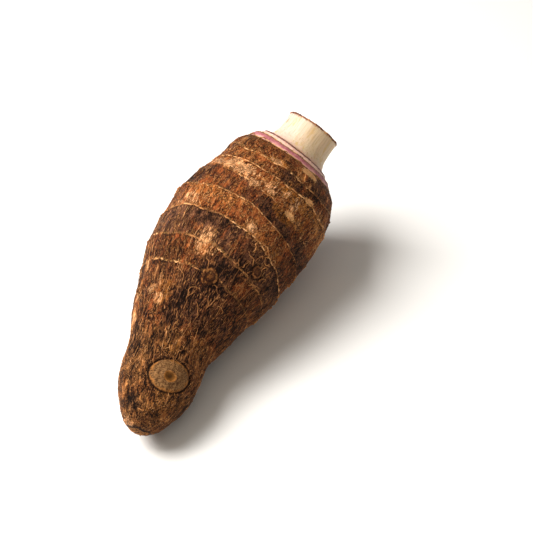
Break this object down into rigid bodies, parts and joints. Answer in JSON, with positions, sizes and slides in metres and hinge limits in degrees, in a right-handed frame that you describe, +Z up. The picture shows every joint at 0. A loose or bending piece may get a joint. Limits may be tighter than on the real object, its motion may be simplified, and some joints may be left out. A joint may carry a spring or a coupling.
{
  "type": "taro root",
  "caption": "Trimmed taro corm lying on its side: ringed fibrous brown body with a tapering root end, mauve leaf bases and a cut cream stalk stub.",
  "frame": {"origin": "on the surface that the corm lies on, under the middle of its bounding box", "axes": "+X runs along the corm from the root tip to the cut stalk, +Z is up, and the corm lies on its side on Z = 0"},
  "size_m": [0.1926, 0.078, 0.0813],
  "materials": {
    "skin": "dry, fibrous, bark-like skin with thin pale leaf-scar rings",
    "outer_leaf_base": "moist cut leaf base, mauve fading to cream",
    "inner_leaf_base": "moist cut leaf base, pale pink",
    "stalk": "smooth cream flesh with fine lengthwise veins"
  },
  "bodies": {
    "root": {"corm": "skin", "outer_leaf_base": "outer_leaf_base", "inner_leaf_base": "inner_leaf_base", "stalk_stub": "stalk"}
  },
  "joints": []
}
